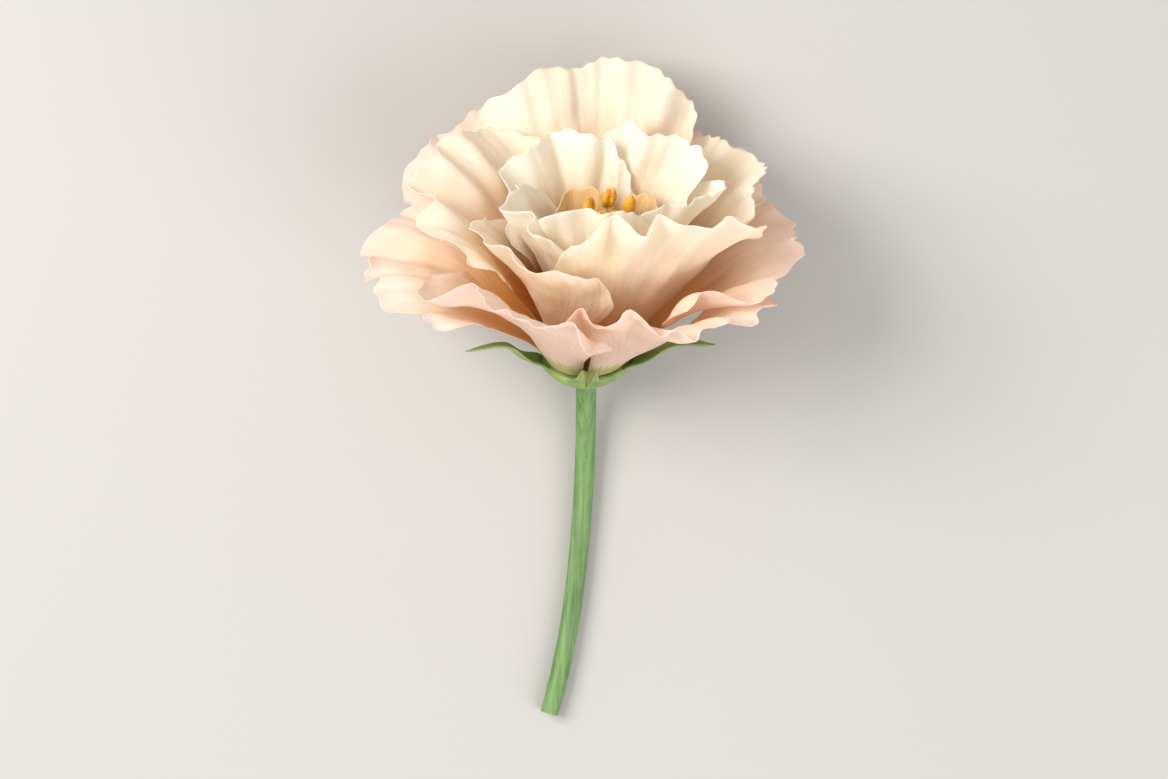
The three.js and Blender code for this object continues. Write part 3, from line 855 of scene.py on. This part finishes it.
def stalk_material():
    """The stalk's green skin, and paler fibres with a pith over its cut end."""
    material, tree, surface, look = green_material(
        "stalk_skin", tone(66, 104, 46), tone(104, 142, 68), tone(146, 172, 126), 0.28
    )
    place = tree.node("ShaderNodeTexCoord").outputs["Object"]
    down = -STALK_END_PULL / np.linalg.norm(STALK_END_PULL)
    from_end = tree.node("ShaderNodeVectorMath", {"operation": "SUBTRACT"})
    tree.put(from_end.inputs[0], place)
    from_end.inputs[1].default_value = STALK_END * MM
    beyond = tree.node("ShaderNodeVectorMath", {"operation": "DOT_PRODUCT"})
    tree.put(beyond.inputs[0], from_end.outputs[0])
    beyond.inputs[1].default_value = down
    cut = tree.ramp(beyond.outputs["Value"], -0.00016, -0.00004)
    radius = tree.node("ShaderNodeVectorMath", {"operation": "LENGTH"})
    tree.put(radius.inputs[0], from_end.outputs[0])
    ring = tree.ramp(radius.outputs["Value"], 0.0007, 0.0011)
    fibres = tree.noise(place, 5200.0, 2.0)
    pith = tree.mix(ring, tone(214, 222, 176), tone(150, 172, 104))
    pith = tree.mix(tree.ramp(fibres, 0.4, 0.65, 0.0, 0.5), pith, tone(112, 132, 74))
    colour = tree.mix(cut, look["Color"], pith)
    plain_skin(tree, surface, look, colour, 0.00006, 0.1)
    return material


def grain_group():
    """Colour and height of a fine-grained skin, from dusty pollen to a damp stigma."""
    group, tree, start, end = new_group(
        "fine_grain",
        {"Place": VECTOR, "Deep": COLOR, "Main": COLOR, "Light": COLOR, "Grain": FLOAT},
        {"Color": COLOR, "Height": FLOAT, "Roughness": FLOAT},
    )
    patch = tree.noise(start["Place"], 520.0, 3.0)
    grain = tree.node("ShaderNodeTexVoronoi", {"feature": "F1"}, Vector=start["Place"], Scale=start["Grain"])
    body = tree.mix(tree.ramp(patch, 0.35, 0.6), start["Deep"], start["Main"])
    body = tree.mix(tree.ramp(grain.outputs["Distance"], 0.1, 0.45, 0.7, 0.0), body, start["Light"])
    tree.put(end["Color"], body)
    tree.put(end["Height"], tree.math("SUBTRACT", 1.0, grain.outputs["Distance"]))
    tree.put(end["Roughness"], tree.ramp(patch, 0.3, 0.7, 0.62, 0.82))
    return group


GRAIN_GROUP = grain_group()


def grain_material(name, deep, main, light, grain, bump_distance, through=0.1):
    """A fine-grained skin in three tones, its grain given as cells per metre."""
    material, tree, surface = new_material(name)
    place = tree.node("ShaderNodeTexCoord").outputs["Object"]
    look = use_group(tree, GRAIN_GROUP, Place=place, Deep=deep, Main=main, Light=light, Grain=grain)
    plain_skin(tree, surface, look, look["Color"], bump_distance, through)
    return material


# ======== The rest of the flower ========
def build_calyx():
    """The cup and its five sepals."""
    material = calyx_material()
    cup = grid_piece("calyx_cup", 90, 60, cup_points)
    outward(cup)
    finish_piece(cup, "calyx", material, "calyx")
    for k in range(len(SEPAL_AZIMUTHS)):
        sepal = grid_piece(f"sepal_{k + 1}", 16, 48, lambda along, across: sepal_points(k, along, across))
        thicken(sepal, SEPAL_THICKNESS, SEPAL_EDGE_THINNESS)
        outward(sepal)
        finish_piece(sepal, "calyx", material, "calyx")


def build_stalk():
    """A round stalk along one bend: it leaves the cup along the bloom's axis and ends level on the floor."""
    axis = np.array([0, math.cos(BLOOM_TILT), math.sin(BLOOM_TILT)])
    top = RECEPTACLE_AT + axis * (CUP_PROFILE[0][1] + STALK_INTO_CUP)
    start_clean()
    bpy.ops.curve.primitive_bezier_curve_add()
    piece = bpy.context.object
    curve = piece.data
    curve.dimensions = "3D"
    curve.resolution_u = 64
    curve.bevel_depth = STALK_RADIUS * MM
    curve.bevel_resolution = 10
    curve.use_fill_caps = True
    upper, lower = curve.splines[0].bezier_points
    for point in (upper, lower):
        point.handle_left_type = "FREE"
        point.handle_right_type = "FREE"
    upper.co, upper.handle_left, upper.handle_right = [
        Vector(place * MM) for place in (top, top + axis, top - axis * STALK_NECK)
    ]
    lower.co, lower.handle_left, lower.handle_right = [
        Vector(place * MM) for place in (STALK_END, STALK_END + STALK_END_PULL, STALK_END - STALK_END_PULL)
    ]
    upper.radius = STALK_TOP_SWELL
    lower.radius = STALK_END_SHARE
    bpy.ops.object.convert(target="MESH")
    piece = bpy.context.object
    piece.name = "cut_stalk"
    piece.data.name = "cut_stalk"
    outward(piece)
    bpy.ops.object.shade_smooth_by_angle(angle=50 * DEG)
    finish_piece(piece, "stalk", stalk_material(), "stalk")


def build_pistil():
    """The ovary with its style, and the two lobes of the stigma."""
    ovary_skin = grain_material(
        "ovary_skin", tone(132, 150, 62), tone(168, 180, 84), tone(206, 208, 130), 3800.0, 0.00004
    )
    stigma_skin = grain_material(
        "stigma_skin", tone(176, 176, 62), tone(212, 206, 96), tone(240, 232, 160), 5200.0, 0.00012
    )
    ovary = grid_piece("ovary_and_style", 36, 90, pistil_points)
    outward(ovary)
    finish_piece(ovary, "pistil", ovary_skin, "pistil")
    for name, side in (("stigma_lobe_1", -1), ("stigma_lobe_2", 1)):
        def lobe_points(ball):
            x, y, z = (ball * STIGMA_LOBE).T
            lift = STIGMA_LOBE_RISE * x * side
            y = y * (1 + STIGMA_CREASE * np.sin(STIGMA_CREASE_PACE * x))
            return in_heart(np.stack([x + side * STIGMA_LOBE_OUT, y, z + lift + STIGMA_HEIGHT], -1))
        lobe = ball_piece(name, 32, 20, lobe_points)
        finish_piece(lobe, "pistil", stigma_skin, "pistil")


def filament_points(along, across):
    """A thin stalk at azimuth 0, upright, tapering and bowed a little outward."""
    radius = FILAMENT_RADII[0] + (FILAMENT_RADII[1] - FILAMENT_RADII[0]) * along
    closing = np.minimum(1, FILAMENT_CLOSING * (1 - along)) * np.minimum(1, FILAMENT_CLOSING * along)
    radius = radius * closing
    angle = across * math.pi
    middle = FILAMENT_BASE_AT + (FILAMENT_TOP_AT - FILAMENT_BASE_AT) * along
    middle = middle + FILAMENT_BOW * np.sin(along * math.pi)
    height = BASE_LIFT + (FILAMENT_HEIGHT - BASE_LIFT) * along
    return np.stack([middle + radius * np.cos(angle), radius * np.sin(angle), height], -1)


def anther_points(ball):
    """Two long lobes side by side with a groove between them, bent outward at both ends."""
    x, y, z = ball.T
    groove = 1 - ANTHER_GROOVE * np.exp(-((y / ANTHER_GROOVE_WIDTH) ** 2))
    notch = 1 - ANTHER_NOTCH * np.exp(-((y / ANTHER_NOTCH_WIDTH) ** 2)) * smooth(np.abs(z), 0.5, 1)
    thick, wide, long = ANTHER
    z = z * notch * long
    x = x * groove * thick + ANTHER_BEND * z * z
    return np.stack([x + FILAMENT_TOP_AT, y * wide, z + FILAMENT_HEIGHT], -1)


def build_stamens():
    """One stamen's filament and anther, turned and tipped a little for each of the others."""
    pollen = grain_material(
        "pollen", tone(206, 136, 22), tone(232, 172, 44), tone(252, 216, 110), 4200.0, 0.00022
    )
    filament_skin = grain_material(
        "filament_skin", tone(214, 186, 104), tone(238, 222, 164), tone(250, 240, 200), 2600.0, 0.00003
    )
    filament = grid_piece("filament", 14, 40, filament_points)
    outward(filament)
    anther = ball_piece("anther", 28, 28, anther_points)
    draw = np.random.default_rng(STAMEN_SEED)
    for k in range(STAMENS):
        turn = STAMEN_START + TURN * k / STAMENS
        tip = draw.uniform(-STAMEN_TIPPING, STAMEN_TIPPING)
        def stand(points):
            x, y, z = points.T
            above = z - FILAMENT_HEIGHT
            y = y + np.where(above > -ANTHER[2], tip * (above + ANTHER[2]), 0)
            turned_x = x * math.cos(turn) - y * math.sin(turn)
            turned_y = x * math.sin(turn) + y * math.cos(turn)
            return in_heart(np.stack([turned_x, turned_y, z], -1))
        for part, skin in ((filament, filament_skin), (anther, pollen)):
            piece = copy_piece(part, f"{part.name}_{k + 1}", stand)
            finish_piece(piece, "stamens", skin, f"stamen_{k + 1}")
    for part in (filament, anther):
        bpy.data.objects.remove(part)


# ======== Floor, light and camera ========
def build_stage():
    """The plain pale floor."""
    start_clean()
    bpy.ops.mesh.primitive_plane_add(size=FLOOR_SIZE, location=(0, 0, 0))
    floor = bpy.context.object
    floor.name = "floor"
    material, tree, surface = new_material("pale_floor")
    place = tree.node("ShaderNodeTexCoord").outputs["Object"]
    cloud = tree.noise(place, 3.0, 2.0)
    colour = tree.mix(cloud, tone(176, 174, 171), tone(184, 182, 179))
    skin = tree.node("ShaderNodeBsdfPrincipled", Base_Color=colour)
    skin.inputs["Roughness"].default_value = 0.8
    tree.put(surface, skin.outputs[0])
    floor.data.materials.append(material)


def area_light(name, aim, at, size, energy, colour):
    """A square lamp that faces the point aim."""
    light = bpy.data.lights.new(name, "AREA")
    light.size = size
    light.energy = energy
    light.color = colour
    lamp = bpy.data.objects.new(name, light)
    bpy.context.scene.collection.objects.link(lamp)
    lamp.location = at
    lamp.rotation_euler = (Vector(aim) - Vector(at)).to_track_quat("-Z", "Y").to_euler()


def build_light():
    """A soft key from the left, a weaker fill from the front right, and even light from all round."""
    bpy.context.scene.view_settings.view_transform = "Standard"
    world = bpy.data.worlds.new("studio")
    bpy.context.scene.world = world
    world.use_nodes = True
    background = world.node_tree.nodes["Background"]
    background.inputs["Color"].default_value = ROUND_LIGHT_COLOUR
    background.inputs["Strength"].default_value = ROUND_LIGHT
    area_light("key", LIGHTS_AIM, **KEY_LIGHT)
    area_light("fill", LIGHTS_AIM, **FILL_LIGHT)


def build_camera():
    """It looks straight down on the flower, with +Y up in the picture."""
    lens = bpy.data.cameras.new("camera")
    lens.lens = LENS
    lens.sensor_width = SENSOR
    camera = bpy.data.objects.new("camera", lens)
    bpy.context.scene.collection.objects.link(camera)
    camera.location = (0, 0, CAMERA_HEIGHT)
    bpy.context.scene.camera = camera


build_petals()
build_stamens()
build_pistil()
build_calyx()
build_stalk()
build_stage()
build_light()
build_camera()
